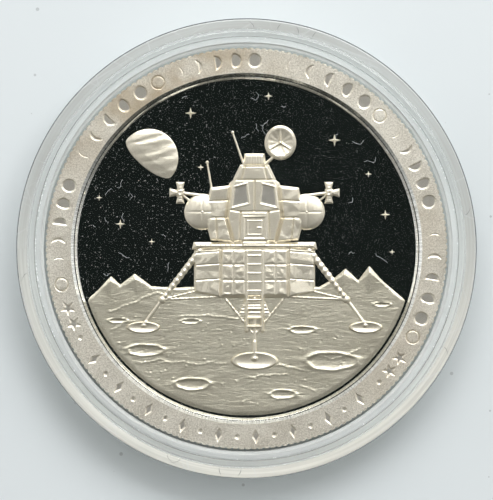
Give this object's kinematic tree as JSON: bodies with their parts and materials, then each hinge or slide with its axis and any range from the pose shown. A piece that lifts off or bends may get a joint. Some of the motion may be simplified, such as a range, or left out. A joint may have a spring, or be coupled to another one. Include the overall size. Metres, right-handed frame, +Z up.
{
  "type": "commemorative medal in a clear capsule",
  "caption": "Round proof-finish medal with a reeded edge and a struck lander scene, held in a clear two-piece capsule whose lid lifts off.",
  "frame": {"origin": "middle of the capsule's underside, which is what it lies on", "axes": "+Z up through the medal's struck face, +Y to the top of the struck picture, +X to its right"},
  "size_m": [0.046, 0.046, 0.0058],
  "materials": {
    "capsule": "clear moulded polystyrene, polished",
    "silver": "proof: mirror field, frosted relief, satin rim"
  },
  "bodies": {
    "base": {"capsule_base": "capsule", "medal": "silver"},
    "lid": {"capsule_lid": "capsule"}
  },
  "joints": [
    {"name": "lid_lift", "type": "slide", "parent": "base", "child": "lid", "axis": [0, 0, 1], "range_m": [0, 0.012]}
  ]
}
